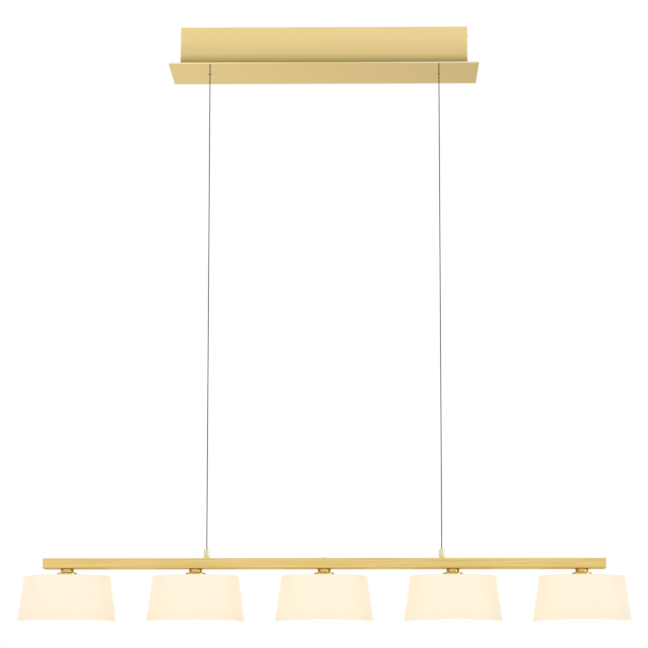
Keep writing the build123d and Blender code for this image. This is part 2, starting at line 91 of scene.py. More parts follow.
def make_camera():
    data = bpy.data.cameras.new("camera")
    data.lens = LENS_MM
    data.sensor_width = SENSOR_MM
    data.shift_x, data.shift_y = SHIFT
    camera = bpy.data.objects.new("camera", data)
    camera.location = CAMERA_PLACE
    camera.rotation_euler = (math.pi / 2 + CAMERA_PITCH, 0, CAMERA_YAW)
    bpy.context.scene.collection.objects.link(camera)
    bpy.context.scene.camera = camera


# Meshes

MERGE_DISTANCE = 1e-7
SHARP_ANGLE = 35


def add_mesh(name, points, faces, finishes, sharp_angle=SHARP_ANGLE):
    """An object from points and faces, shaded smooth except over edges past an angle in degrees."""
    mesh = bpy.data.meshes.new(name)
    mesh.from_pydata([tuple(point) for point in points], [], faces)
    piece = bpy.data.objects.new(name, mesh)
    bpy.context.scene.collection.objects.link(piece)
    for finish in finishes:
        mesh.materials.append(finish)
    clean = bmesh.new()
    clean.from_mesh(mesh)
    bmesh.ops.remove_doubles(clean, verts=clean.verts, dist=MERGE_DISTANCE)
    bmesh.ops.recalc_face_normals(clean, faces=clean.faces)
    clean.to_mesh(mesh)
    clean.free()
    mesh.shade_smooth()
    mesh.set_sharp_from_angle(angle=math.radians(sharp_angle))
    return piece


def rounded(corners, steps=8):
    """The points of a closed outline whose corners, each (radius, height, rounding), are rounded."""
    outline = []
    for index, (radius, height, rounding) in enumerate(corners):
        here = Vector((radius, height))
        if not rounding:
            outline.append(here)
            continue
        before = (Vector(corners[index - 1][:2]) - here).normalized()
        after = (Vector(corners[(index + 1) % len(corners)][:2]) - here).normalized()
        half = before.angle(after) / 2
        centre = here + (before + after).normalized() * rounding / math.sin(half)
        start = here + before * rounding / math.tan(half) - centre
        end = here + after * rounding / math.tan(half) - centre
        sweep = start.angle(end)
        for step in range(steps + 1):
            share = step / steps
            near = start * math.sin((1 - share) * sweep)
            far = end * math.sin(share * sweep)
            outline.append(centre + (near + far) / math.sin(sweep))
    return outline


def lathe(name, outline, place, finishes, segments=96, inner_from=None, shape=None):
    """A closed outline of (radius, height) turned about the vertical axis through a place.

    Where inner_from holds, the second finish takes over. shape can push the surface in or out.
    """
    points, faces = [], []
    count = len(outline)
    for turn in range(segments):
        angle = 2 * math.pi * turn / segments
        across, along = math.cos(angle), math.sin(angle)
        for radius, height in outline:
            reach = shape(radius, height, angle) if shape else radius
            points.append((reach * across, reach * along, height))
    for turn in range(segments):
        here, there = turn * count, (turn + 1) % segments * count
        for step in range(count):
            after = (step + 1) % count
            if outline[step][0] == 0 and outline[after][0] == 0:
                continue
            faces.append((here + step, there + step, there + after, here + after))
    piece = add_mesh(name, points, faces, finishes)
    piece.location = place
    if inner_from is not None:
        for face in piece.data.polygons:
            radius = math.hypot(face.center.x, face.center.y)
            face.material_index = 1 if inner_from(radius, face.center.z) else 0
    return piece


def tube(rings):
    """The points and faces of a closed tube through rings that have as many points each."""
    count = len(rings[0])
    points = [point for ring in rings for point in ring]
    faces = []
    for index in range(len(rings) - 1):
        here, there = index * count, (index + 1) * count
        for step in range(count):
            after = (step + 1) % count
            faces.append((here + step, here + after, there + after, there + step))
    last = (len(rings) - 1) * count
    faces.append(tuple(range(count)))
    faces.append(tuple(last + step for step in range(count)))
    return points, faces


# Node materials

def srgb(red, green, blue):
    """A colour given as it shows on a screen, from 0 to 255, as linear light."""
    def linear(value):
        value /= 255
        return value / 12.92 if value <= 0.04045 else ((value + 0.055) / 1.055) ** 2.4
    return (linear(red), linear(green), linear(blue), 1.0)


def scaled(colour, factor):
    return tuple(channel * factor for channel in colour[:3]) + (1.0,)


class Surface:
    """A material in the making: its node tree and its main shader."""

    def __init__(self, name, roughness, metallic=0.0, **sockets):
        self.material = bpy.data.materials.new(name)
        self.material.use_nodes = True
        self.tree = self.material.node_tree
        self.shader = self.tree.nodes["Principled BSDF"]
        self.shader.inputs["Roughness"].default_value = roughness
        self.shader.inputs["Metallic"].default_value = metallic
        for socket, value in sockets.items():
            self.shader.inputs[socket.replace("_", " ").title()].default_value = value
        self.coordinates = self.tree.nodes.new("ShaderNodeTexCoord")

    def node(self, kind, inputs=(), **settings):
        made = self.tree.nodes.new(kind)
        for name, value in settings.items():
            setattr(made, name, value)
        for socket, value in dict(inputs).items():
            if isinstance(value, bpy.types.NodeSocket):
                self.tree.links.new(value, made.inputs[socket])
            else:
                made.inputs[socket].default_value = value
        return made

    def noise(self, per_metre, detail=4.0, roughness=0.55):
        """Noise with a number of cells per metre along each axis."""
        stretch = self.node(
            "ShaderNodeMapping", {"Vector": self.coordinates.outputs["Object"], "Scale": per_metre}
        )
        return self.node(
            "ShaderNodeTexNoise",
            {"Vector": stretch.outputs["Vector"], "Scale": 1.0, "Detail": detail, "Roughness": roughness},
        ).outputs["Fac"]

    def spread(self, value, low, high, start=0.3, end=0.7):
        """A value from one range carried over to another, held at its ends."""
        return self.node(
            "ShaderNodeMapRange",
            {"Value": value, "From Min": start, "From Max": end, "To Min": low, "To Max": high},
        ).outputs["Result"]

    def mix(self, factor, first, second, blend="MIX"):
        made = self.node("ShaderNodeMix", data_type="RGBA", blend_type=blend)
        for socket, value in ((0, factor), (6, first), (7, second)):
            if isinstance(value, bpy.types.NodeSocket):
                self.tree.links.new(value, made.inputs[socket])
            else:
                made.inputs[socket].default_value = value
        return made.outputs[2]

    def graded(self, axis, low, high, stops):
        """A colour that changes along an axis, between two places on it."""
        place = self.node("ShaderNodeSeparateXYZ", {"Vector": self.coordinates.outputs["Object"]})
        ramp = self.node("ShaderNodeValToRGB", {"Fac": self.spread(place.outputs[axis], 0, 1, low, high)})
        steps = ramp.color_ramp.elements
        while len(steps) < len(stops):
            steps.new(0.5)
        for step, (position, shade) in zip(steps, stops):
            step.position = position
            step.color = (*shade[:3], 1.0)
        return ramp.outputs["Color"]

    def connect(self, socket, value):
        self.tree.links.new(value, self.shader.inputs[socket])

    def bump(self, height, distance, strength=1.0):
        made = self.node(
            "ShaderNodeBump", {"Height": height, "Distance": distance, "Strength": strength}
        )
        self.connect("Normal", made.outputs["Normal"])


def even(per_metre):
    return (per_metre, per_metre, per_metre)


MOTTLE_PER_METRE = 40.0
CLOUD_PER_METRE = 28.0
RIPPLE_PER_METRE = (10.0, 10.0, 16.0)


def coated_metal(
    name, colour, per_metre, roughness, variation, bump_height, shading=None, edge=None, **sockets
):
    """A metal whose tone, gloss and surface follow a fine noise.

    Painted light and shade along an axis can scale its tone, and its upright cut edges can carry a painted
    highlight in tones of their own.
    """
    surface = Surface(name, sum(roughness) / 2, metallic=1.0, **sockets)
    fine = surface.noise(per_metre)
    tone = surface.mix(
        surface.spread(fine, 0, 1), scaled(colour, 1 - variation), scaled(colour, 1 + variation)
    )
    # Painted light and shade along an axis, multiplied into the tone.
    if shading:
        tone = surface.mix(1.0, tone, surface.graded(*shading), blend="MULTIPLY")
    # Painted highlight: upright faces take colours of their own along an axis in place of the tone.
    if edge:
        facing = surface.node(
            "ShaderNodeSeparateXYZ", {"Vector": surface.node("ShaderNodeNewGeometry").outputs["Normal"]}
        ).outputs["Z"]
        upright = surface.node("ShaderNodeMath", {0: facing}, operation="ABSOLUTE").outputs["Value"]
        tone = surface.mix(surface.spread(upright, 1, 0, start=0.2, end=0.6), tone, surface.graded(*edge))
    surface.connect("Base Color", tone)
    surface.connect("Roughness", surface.spread(fine, *roughness))
    surface.bump(fine, bump_height)
    return surface.material


def plastic(name, colour, roughness, per_metre=900.0, bump_height=0.00002, variation=0.03, **sockets):
    """A moulded plastic, rubber or glaze with a fine grain and a faint mottling."""
    surface = Surface(name, roughness, **sockets)
    grain = surface.noise(even(per_metre), detail=5.0)
    mottle = surface.noise(even(MOTTLE_PER_METRE), detail=2.0)
    tone = surface.mix(
        surface.spread(mottle, 0, 1), scaled(colour, 1 - variation), scaled(colour, 1 + variation)
    )
    surface.connect("Base Color", tone)
    surface.connect("Roughness", surface.spread(grain, roughness * 0.85, min(1, roughness * 1.15)))
    surface.bump(grain, bump_height)
    return surface.material


def board_material():
    """A white lacquered board with copper-coloured pads that show as a faint regular pattern."""
    surface = Surface("circuit_board", roughness=0.35)
    lines = surface.node(
        "ShaderNodeTexBrick",
        {
            "Vector": surface.coordinates.outputs["Object"],
            "Color1": srgb(236, 238, 233),
            "Color2": srgb(229, 232, 226),
            "Mortar": srgb(186, 156, 96),
            "Scale": 20.0,
            "Mortar Size": 0.012,
        },
    )
    surface.connect("Base Color", lines.outputs["Color"])
    surface.bump(lines.outputs["Fac"], distance=0.00003)
    return surface.material


def glow_material(name, body, glow, strength, near, far, falloff, roughness=0.3, gloss=0.5):
    """Opal glass with a painted glow standing in for the bulb's light through it: it glows most where it is
    nearest to the bulb, which hangs below its origin.
    """
    surface = Surface(name, roughness, emission_strength=strength)
    surface.shader.inputs["Specular IOR Level"].default_value = gloss
    bulb_middle = (0.0, 0.0, (bulb_low.z + neck_low.z) / 2 - shade_high.z)
    reach = surface.node(
        "ShaderNodeVectorMath",
        {0: surface.coordinates.outputs["Object"], 1: bulb_middle},
        operation="DISTANCE",
    ).outputs["Value"]
    level = surface.spread(reach, 1.0, falloff, start=near, end=far)
    cloud = surface.noise(even(CLOUD_PER_METRE), detail=2.0)
    glow_tone = surface.mix(surface.spread(cloud, 0, 1), scaled(glow, 0.985), scaled(glow, 1.0))
    surface.connect("Emission Color", surface.mix(level, (0.0, 0.0, 0.0, 1.0), glow_tone))
    tone = surface.mix(surface.spread(cloud, 0, 1), scaled(body, 0.97), body)
    surface.connect("Base Color", tone)
    ripple = surface.noise(RIPPLE_PER_METRE, detail=1.0)
    surface.bump(ripple, distance=0.0003, strength=0.2)
    return surface.material


def bulb_material():
    """The bulb's lit silicone, a little yellower towards its base."""
    surface = Surface("lit_bulb", roughness=0.4, emission_strength=1.8)
    height = surface.node(
        "ShaderNodeSeparateXYZ", {"Vector": surface.coordinates.outputs["Object"]}
    ).outputs["Z"]
    up = surface.spread(height, 0, 1, start=0, end=bulb_high.z - bulb_low.z)
    surface.connect("Emission Color", surface.mix(up, srgb(255, 248, 226), srgb(240, 214, 160)))
    surface.connect("Base Color", surface.mix(up, srgb(250, 246, 232), srgb(236, 230, 210)))
    surface.bump(surface.noise(even(600.0)), distance=0.00002)
    return surface.material


BRASS = srgb(237, 212, 149)
PLATE_BRASS = srgb(230, 206, 142)
BAR_BRASS = srgb(229, 200, 128)
POLISHED_BRASS = srgb(228, 206, 146)
NECK_BRASS = srgb(214, 188, 112)
SLEEVE_BRASS = srgb(226, 216, 176)
STEEL = srgb(172, 173, 174)
EDGE_TINT = (0.95, 0.86, 0.68, 1.0)
BAR_TINT = (0.95, 0.83, 0.42, 1.0)
CABLE_TINT = (0.25, 0.25, 0.25, 1.0)
# Painted shade: the housing's tone darkens towards the cover plate, where the plate shades it.
HOUSING_PAINTED_SHADE = (
    (0.09, (0.43, 0.43, 0.32)),
    (0.19, (0.665, 0.67, 0.6)),
    (0.30, (0.835, 0.84, 0.84)),
    (0.66, (0.945, 0.96, 1.0)),
    (1.0, (1.0, 1.0, 1.0)),
)
# Painted light: the plate's underside is brightest at its left end and darker towards the right.
PLATE_PAINTED_LIGHT = ((0.0, (1.0, 1.0, 1.0)), (0.5, (0.88, 0.86, 0.83)), (1.0, (0.76, 0.73, 0.66)))
# Painted highlight: the plate's upright cut edges are lighter as if catching the light, brightest at the
# left end and darkest in the middle.
PLATE_EDGE_PAINTED_LIGHT = ((0.0, srgb(252, 234, 182)), (0.5, srgb(212, 194, 138)), (1.0, srgb(238, 224, 194)))
# Painted shade: the bar darkens along its lowest few millimetres.
BAR_PAINTED_SHADE = ((0.0, (0.78, 0.78, 0.74)), (0.06, (0.82, 0.82, 0.78)), (0.13, (1.0, 1.0, 1.0)))

TURNED = (300.0, 300.0, 2500.0)
BRUSHED = (7.0, 340.0, 340.0)
DRAWN = (2000.0, 2000.0, 300.0)

METALS = {
    "satin_brass_sheet": dict(
        colour=BRASS, per_metre=even(1400.0), roughness=(0.42, 0.5), variation=0.015, bump_height=0.00001,
        shading=("Z", housing_low.z, housing_high.z, HOUSING_PAINTED_SHADE),
    ),
    "screw_brass": dict(
        colour=BRASS, per_metre=even(500.0), roughness=(0.3, 0.4), variation=0.03, bump_height=0.000006,
    ),
    "plate_brass": dict(
        colour=PLATE_BRASS, per_metre=even(1400.0), roughness=(0.1, 0.15), variation=0.012,
        bump_height=0.000002, shading=("X", housing_low.x, housing_high.x, PLATE_PAINTED_LIGHT),
        edge=("X", housing_low.x, housing_high.x, PLATE_EDGE_PAINTED_LIGHT), specular_tint=EDGE_TINT,
    ),
    "brushed_brass_bar": dict(
        colour=BAR_BRASS, per_metre=BRUSHED, roughness=(0.3, 0.42), variation=0.12, bump_height=0.00002,
        shading=("Z", bar_low.z, bar_high.z, BAR_PAINTED_SHADE), specular_tint=BAR_TINT,
    ),
    "polished_brass": dict(
        colour=POLISHED_BRASS, per_metre=TURNED, roughness=(0.26, 0.34), variation=0.03,
        bump_height=0.000004, specular_tint=EDGE_TINT,
    ),
    "neck_brass": dict(
        colour=NECK_BRASS, per_metre=TURNED, roughness=(0.1, 0.14), variation=0.03, bump_height=0.000003,
    ),
    "sleeve_brass": dict(
        colour=SLEEVE_BRASS, per_metre=TURNED, roughness=(0.16, 0.22), variation=0.03, bump_height=0.000004,
    ),
    "zinc_steel": dict(
        colour=STEEL, per_metre=even(260.0), roughness=(0.32, 0.5), variation=0.1, bump_height=0.00002,
    ),
    "steel_cable": dict(
        colour=srgb(52, 52, 52), per_metre=DRAWN, roughness=(0.3, 0.42), variation=0.05,
        bump_height=0.000006, specular_tint=CABLE_TINT,
    ),
    "spring_steel": dict(
        colour=srgb(106, 112, 120), per_metre=even(500.0), roughness=(0.28, 0.4), variation=0.08,
        bump_height=0.00001,
    ),
    "guide_metal": dict(
        colour=srgb(232, 218, 176), per_metre=even(900.0), roughness=(0.16, 0.24), variation=0.02,
        bump_height=0.000004, specular_tint=EDGE_TINT,
    ),
}
PLASTICS = {
    "driver_case": dict(colour=srgb(233, 233, 229), roughness=0.5),
    "terminal_plastic": dict(colour=srgb(240, 238, 230), roughness=0.25, bump_height=0.00001),
    "lead_insulation": dict(colour=srgb(228, 228, 222), roughness=0.6, per_metre=400.0),
    "drum_plastic": dict(colour=srgb(46, 46, 48), roughness=0.45),
    "switch_plastic": dict(colour=srgb(38, 38, 40), roughness=0.5),
    # Painted shade: a dark colour for the guides' bores, where the hole into the canopy lies in shadow.
    "guide_liner": dict(colour=srgb(30, 27, 22), roughness=0.6),
    "clear_plastic": dict(colour=srgb(230, 230, 222), roughness=0.2, transmission_weight=0.6),
    "ring_plastic": dict(colour=srgb(243, 240, 232), roughness=0.3, bump_height=0.00001),
    "holder_ceramic": dict(colour=srgb(243, 240, 230), roughness=0.18, bump_height=0.00001),
}
# Painted glow: the opal glass and its inner wall emit light though they are no lamps, in place of the
# bulb's light shining through the glass.
GLOWS = {
    "opal_glass": dict(
        body=srgb(205, 198, 186), glow=srgb(255, 232, 197), strength=0.46, near=0.085, far=0.135,
        falloff=0.88, roughness=0.42, gloss=0.3,
    ),
    "opal_inside": dict(
        body=srgb(205, 200, 192), glow=srgb(255, 248, 238), strength=0.57, near=0.08, far=0.14,
        falloff=0.88,
    ),
}

materials = {"circuit_board": board_material(), "lit_bulb": bulb_material()}
for make, finishes in ((coated_metal, METALS), (plastic, PLASTICS), (glow_material, GLOWS)):
    materials.update({name: make(name, **looks) for name, looks in finishes.items()})

OWN_FINISH = {"cover_plate": "plate_brass", "housing_screws": "screw_brass"}


def dress(node, material):
    """Gives a carried-over node its finish."""
    slots = nodes[node].data.materials
    slots.clear()
    slots.append(materials[material])


# The cables: stranded steel rope, straight from the guide down into its sleeve

CABLE_RADIUS = (cable_high.x - cable_low.x) / 2
STRAIGHT_END = 12 * CABLE_RADIUS
STRANDS = 6
STRAND_LAY = 12 * MM
RINGS_PER_LAY = 12
POINTS_PER_STRAND = 4
CURVE_RESOLUTION = 24
CORD_SHARP_ANGLE = 80


def route_points(name, control):
    """The points of a smooth curve from its first control point to its last."""
    curve = bpy.data.curves.new(name, "CURVE")
    curve.dimensions = "3D"
    curve.resolution_u = CURVE_RESOLUTION
    spline = curve.splines.new("NURBS")
    spline.points.add(len(control) - 1)
    for point, place in zip(spline.points, control):
        point.co = (*place, 1.0)
    spline.order_u = 3
    spline.use_endpoint_u = True
    holder = bpy.data.objects.new(name, curve)
    line = bpy.data.meshes.new_from_object(holder)
    points = [vertex.co.copy() for vertex in line.vertices]
    bpy.data.objects.remove(holder)
    bpy.data.curves.remove(curve)
    bpy.data.meshes.remove(line)
    return points


def point_at(line, run):
    """The point a run's length along a line of points."""
    for start, end in zip(line, line[1:]):
        step = (end - start).length
        if run <= step:
            return start.lerp(end, run / step if step else 0)
        run -= step
    return line[-1].copy()


def strand_outline():
    """The outline of a ring of strands round a core, as radius and angle."""
    strand_radius = CABLE_RADIUS / 3
    strand_place = CABLE_RADIUS - strand_radius
    outline = []
    for step in range(STRANDS * POINTS_PER_STRAND):
        angle = 2 * math.pi * step / (STRANDS * POINTS_PER_STRAND)
        off = (angle + math.pi / STRANDS) % (2 * math.pi / STRANDS) - math.pi / STRANDS
        rise = math.sqrt(max(0, strand_radius**2 - (strand_place * math.sin(off)) ** 2))
        outline.append((strand_place * math.cos(off) + rise, angle))
    return outline


def make_cable(side):
    """One rope, as long as its node, whose strands wind round it at a steady lay."""
    low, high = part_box(f"suspension_cable_{side}")
    x = (low.x + high.x) / 2
    levels = (high.z, high.z - STRAIGHT_END, low.z + STRAIGHT_END, low.z)
    line = route_points(f"route_{side}", [(x, 0, level) for level in levels])
    length = sum((b - a).length for a, b in zip(line, line[1:]))
    rings = round(length / STRAND_LAY * RINGS_PER_LAY)
    outline = strand_outline()
    path, strands = [], []
    for ring in range(rings + 1):
        run = length * ring / rings
        centre = point_at(line, run)
        path.append(centre)
        twist = 2 * math.pi * run / STRAND_LAY
        strands.append([
            centre + Vector((radius * math.cos(angle + twist), radius * math.sin(angle + twist), 0))
            for radius, angle in outline
        ])
    rope = add_mesh(
        f"cable_rope_{side}", *tube(strands), [materials["steel_cable"]], sharp_angle=CORD_SHARP_ANGLE
    )
    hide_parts(f"suspension_cable_{side}")
    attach(rope, "suspension")
    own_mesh(rope)


# The turned pieces. Each edge that has no size of its own is broken by a hair

HAIR_EDGE = 0.3 * MM
THREAD_GAP = 0.05 * MM
NECK_RADIUS = 13.5 * MM
NECK_BORE = 3 * MM
NECK_STUD = 5 * MM
NECK_SOCKET = 11 * MM
NECK_SOCKET_DEPTH = 8 * MM
FLANGE_RIM = 7.2 * MM
FLANGE_FLARE = 2.0 * MM
FLANGE_EDGE = 1.1 * MM
NECK_TOP_EDGE = 0.6 * MM


def make_neck(number):
    """A turned neck: a threaded stud, a short barrel with a broken edge, and a flared flange."""
    x = middle(f"lamp_neck_{number}").x
    base = neck_low.z
    bar_under = bar_low.z - base
    flange_radius = (neck_high.x - neck_low.x) / 2
    corners = [
        (NECK_BORE, neck_high.z - base, 0),
        (NECK_STUD, neck_high.z - base, HAIR_EDGE),
        (NECK_STUD, bar_under, 0),
        (NECK_RADIUS, bar_under, NECK_TOP_EDGE),
        (NECK_RADIUS, FLANGE_RIM, FLANGE_FLARE),
        (flange_radius, FLANGE_RIM, FLANGE_EDGE),
        (flange_radius, 0, FLANGE_EDGE),
        (NECK_SOCKET, 0, HAIR_EDGE),
        (NECK_SOCKET, NECK_SOCKET_DEPTH, 0),
        (NECK_BORE, NECK_SOCKET_DEPTH, 0),
    ]
    neck = lathe(f"turned_neck_{number}", rounded(corners), (x, 0, base), [materials["neck_brass"]])
    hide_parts(f"lamp_neck_{number}")
    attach(neck, "pendant")


SLEEVE_BORE = CABLE_RADIUS + 0.25 * MM
SLEEVE_STUD = 3.0 * MM
BORE_SPARE = 0.2 * MM
SLEEVE_EDGE = 0.8 * MM
SLEEVE_GROOVE = 0.25 * MM
GROOVE_PLACES = (4.5 * MM, 3.5 * MM)
CABLE_GRIP = 15 * MM
SLEEVE_HEIGHT = 18 * MM


def make_sleeve(side):
    """A turned cable sleeve with broken edges and two fine turned grooves near its foot."""
    x = middle(f"cable_sleeve_{side}").x
    base = sleeve_high.z - SLEEVE_HEIGHT
    radius = (sleeve_high.x - sleeve_low.x) / 2
    stud_end = sleeve_low.z - base
    grip_end = SLEEVE_HEIGHT - CABLE_GRIP - BORE_SPARE
    corners = [
        (0, grip_end, 0),
        (SLEEVE_BORE, grip_end, 0),
        (SLEEVE_BORE, SLEEVE_HEIGHT, 0),
        (radius, SLEEVE_HEIGHT, SLEEVE_EDGE),
    ]
    for place in GROOVE_PLACES:
        corners += [
            (radius, place + SLEEVE_GROOVE, 0),
            (radius - SLEEVE_GROOVE, place, 0),
            (radius, place - SLEEVE_GROOVE, 0),
        ]
    corners += [
        (radius, 0, HAIR_EDGE),
        (SLEEVE_STUD, 0, 0),
        (SLEEVE_STUD, stud_end, HAIR_EDGE),
        (0, stud_end, 0),
    ]
    sleeve = lathe(f"turned_sleeve_{side}", rounded(corners), (x, 0, base), [materials["sleeve_brass"]])
    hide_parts(f"cable_sleeve_{side}")
    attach(sleeve, "pendant")


GUIDE_RADIUS = 4 * MM
GUIDE_FLANGE = 0.8 * MM
GUIDE_THROAT = CABLE_RADIUS + 0.35 * MM
GUIDE_MOUTH = GUIDE_THROAT + 1.5 * MM
GUIDE_FLARE = 2.8 * MM
GUIDE_FLARE_ROUNDING = 1.0 * MM
GUIDE_THROAT_EDGE = 0.2 * MM
GUIDE_TOP_EDGE = 0.4 * MM
GUIDE_BACK_EDGE = 0.21 * MM
GUIDE_EDGE = 0.35 * MM
GUIDE_MOUTH_EDGE = 0.1 * MM
# The radius inside which the guide's bore takes the painted dark shade.
GUIDE_SHADED_RADIUS = 3.6 * MM
GUIDE_SEGMENTS = 48


def make_guide(side):
    """A bush with a broken edge, whose flared bore is coloured dark as painted shade down the hole."""
    low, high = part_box(f"cable_guide_{side}")
    x = middle(f"cable_guide_{side}").x
    height = high.z - low.z
    radius = (high.x - low.x) / 2
    corners = [
        (GUIDE_THROAT, GUIDE_FLARE, GUIDE_FLARE_ROUNDING),
        (GUIDE_THROAT, height, GUIDE_THROAT_EDGE),
        (GUIDE_RADIUS, height, GUIDE_TOP_EDGE),
        (GUIDE_RADIUS, GUIDE_FLANGE, 0),
        (radius, GUIDE_FLANGE, GUIDE_BACK_EDGE),
        (radius, 0, GUIDE_EDGE),
        (GUIDE_SHADED_RADIUS, 0, 0),
        (GUIDE_MOUTH, 0, GUIDE_MOUTH_EDGE),
    ]

    # Painted shade: faces inside this radius and below the top take the dark bore colour.
    def painted_shade_bore(reach, level):
        return reach < GUIDE_SHADED_RADIUS and level < height - HAIR_EDGE

    guide = lathe(
        f"turned_guide_{side}", rounded(corners), (x, 0, low.z),
        [materials["guide_metal"], materials["guide_liner"]], segments=GUIDE_SEGMENTS, inner_from=painted_shade_bore,
    )
    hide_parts(f"cable_guide_{side}")
    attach(guide, "canopy")


BUTTON_DOME = 1.6 * MM
BUTTON_RADIUS = 7.5 * MM
BUTTON_FLANGE_WIDTH = 1.3 * MM
BUTTON_FLANGE_HEIGHT = 1.0 * MM
BUTTON_FLANGE_EDGE = 0.2 * MM
BUTTON_EDGE = 0.35 * MM
BUTTON_SEGMENTS = 64
DOME_STEPS = 10


def make_button():
    """The dimmer's low domed cap with a softly broken edge."""
    low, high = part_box("dimmer_button")
    height = high.z - low.z
    corners = [
        (0, 0, 0),
        (BUTTON_RADIUS + BUTTON_FLANGE_WIDTH, 0, BUTTON_FLANGE_EDGE),
        (BUTTON_RADIUS + BUTTON_FLANGE_WIDTH, BUTTON_FLANGE_HEIGHT, BUTTON_FLANGE_EDGE),
        (BUTTON_RADIUS, BUTTON_FLANGE_HEIGHT, 0),
        (BUTTON_RADIUS, height - BUTTON_DOME - BUTTON_EDGE / 2, BUTTON_EDGE / 3),
    ]
    outline = rounded(corners)
    ball = (BUTTON_RADIUS**2 + BUTTON_DOME**2) / (2 * BUTTON_DOME)
    for step in range(1, DOME_STEPS + 1):
        radius = (BUTTON_RADIUS - BUTTON_EDGE / 2) * (1 - step / DOME_STEPS)
        outline.append(Vector((radius, height - ball + math.sqrt(ball**2 - radius**2))))
    button = lathe(
        "turned_button", outline, (0, 0, low.z), [materials["polished_brass"]], segments=BUTTON_SEGMENTS
    )
    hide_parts("dimmer_button")
    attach(button, "button")


SPRING_WIRE = 0.3 * MM
SPRING_TURNS = 2
SPRING_STEPS = 48
WIRE_STEPS = 12
SPRING_SHARP_ANGLE = 60


def make_spring():
    """The coil under the button, which on the light itself shortens as the button goes down."""
    low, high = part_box("button_spring")
    centre = (low + high) / 2
    coil = (high.x - low.x) / 2 - SPRING_WIRE
    foot, head = low.z + SPRING_WIRE, high.z - SPRING_WIRE
    steps = SPRING_TURNS * SPRING_STEPS
    rings = []
    for step in range(steps + 1):
        turn = 2 * math.pi * step / SPRING_STEPS
        ring = []
        for place in range(WIRE_STEPS):
            angle = 2 * math.pi * place / WIRE_STEPS
            out = coil + SPRING_WIRE * math.cos(angle)
            level = foot + (head - foot) * step / steps + SPRING_WIRE * math.sin(angle)
            ring.append((centre.x + out * math.cos(turn), centre.y + out * math.sin(turn), level))
        rings.append(ring)
    spring = add_mesh(
        "coil_spring", *tube(rings), [materials["spring_steel"]], sharp_angle=SPRING_SHARP_ANGLE
    )
    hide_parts("button_spring")
    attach(spring, "pendant")
    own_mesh(spring)


# What carries each glass and its bulb

HOLDER_SHOULDER = 8 * MM
HOLDER_STEM = 2 * MM
HOLDER_WALL = 3.7 * MM
HOLDER_MOUTH_DEPTH = 12 * MM
HOLDER_DROP = 23 * MM
HOLDER_EDGE = 0.8 * MM
HOLDER_ROUNDING = 0.5 * MM
HOLDER_SEGMENTS = 64
FIT_GAP = 0.3 * MM
THREAD_FOOT = 2.2 * MM
THREAD_PITCH = 1.6 * MM
THREAD_DEPTH = 0.35 * MM
THREAD_TURNS = 7
ROOT_START, ROOT_END, CREST_START = 0.3, 0.45, 0.75
SMALL_EDGE_STEPS = 5


def make_holder(number):
    """A glazed ceramic holder with a contact stem, a collar in the neck and a thread below."""
    low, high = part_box(f"lamp_holder_{number}")
    x = middle(f"lamp_holder_{number}").x
    radius = (high.x - low.x) / 2
    corners = [
        (0, HOLDER_MOUTH_DEPTH, 0),
        (radius - HOLDER_WALL, HOLDER_MOUTH_DEPTH, HOLDER_ROUNDING),
        (radius - HOLDER_WALL, 0, HOLDER_EDGE),
        (radius, 0, HOLDER_EDGE),
    ]
    for turn in range(THREAD_TURNS):
        foot = THREAD_FOOT + turn * THREAD_PITCH
        corners += [
            (radius, foot, 0),
            (radius - THREAD_DEPTH, foot + ROOT_START * THREAD_PITCH, 0),
            (radius - THREAD_DEPTH, foot + ROOT_END * THREAD_PITCH, 0),
            (radius, foot + CREST_START * THREAD_PITCH, 0),
        ]
    corners += [
        (radius, HOLDER_DROP, HAIR_EDGE),
        (NECK_SOCKET - THREAD_GAP, HOLDER_DROP, 0),
        (NECK_SOCKET - THREAD_GAP, HOLDER_DROP + HOLDER_SHOULDER - FIT_GAP, HOLDER_ROUNDING),
        (HOLDER_STEM, HOLDER_DROP + HOLDER_SHOULDER - FIT_GAP, 0),
        (HOLDER_STEM, high.z - low.z, HAIR_EDGE),
        (0, high.z - low.z, 0),
    ]
    holder = lathe(
        f"glazed_holder_{number}", rounded(corners, steps=SMALL_EDGE_STEPS), (x, 0, low.z),
        [materials["holder_ceramic"]], segments=HOLDER_SEGMENTS,
    )
    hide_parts(f"lamp_holder_{number}")
    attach(holder, "pendant")


RING_RIBS = 24
STEPS_PER_RIB = 8
RIB_DEPTH = 0.7 * MM
RING_EDGE = 0.8 * MM
RING_BORE_EDGE = 0.5 * MM


def make_ring(number):
    """One of the threaded rings that clamp the glasses, scalloped all round for the fingers."""
    low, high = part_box("shade_rings")
    holder_low, holder_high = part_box(f"lamp_holder_{number}")
    x = middle(f"lamp_holder_{number}").x
    bore = (holder_high.x - holder_low.x) / 2 + THREAD_GAP
    radius = (high.y - low.y) / 2
    height = high.z - low.z
    corners = [
        (bore, height, HAIR_EDGE),
        (radius, height, HAIR_EDGE),
        (radius, 0, RING_EDGE),
        (bore, 0, RING_BORE_EDGE),
    ]

    def scalloped(reach, level, angle):
        """Full scallops at the rim, fading out half-way to the bore."""
        share = max(0, (reach - bore) / (radius - bore) - 0.5) * 2
        return reach - share * RIB_DEPTH * (0.5 - 0.5 * math.cos(RING_RIBS * angle)) ** 2

    ring = lathe(
        f"grip_ring_{number}", rounded(corners, steps=SMALL_EDGE_STEPS), (x, 0, low.z),
        [materials["ring_plastic"]], segments=RING_RIBS * STEPS_PER_RIB, shape=scalloped,
    )
    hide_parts("shade_rings")
    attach(ring, "pendant")


BULB_BASE_RADIUS = 9 * MM
BULB_LIP = 0.6 * MM
BULB_TIP_STEPS = 14
BULB_SEGMENTS = 48


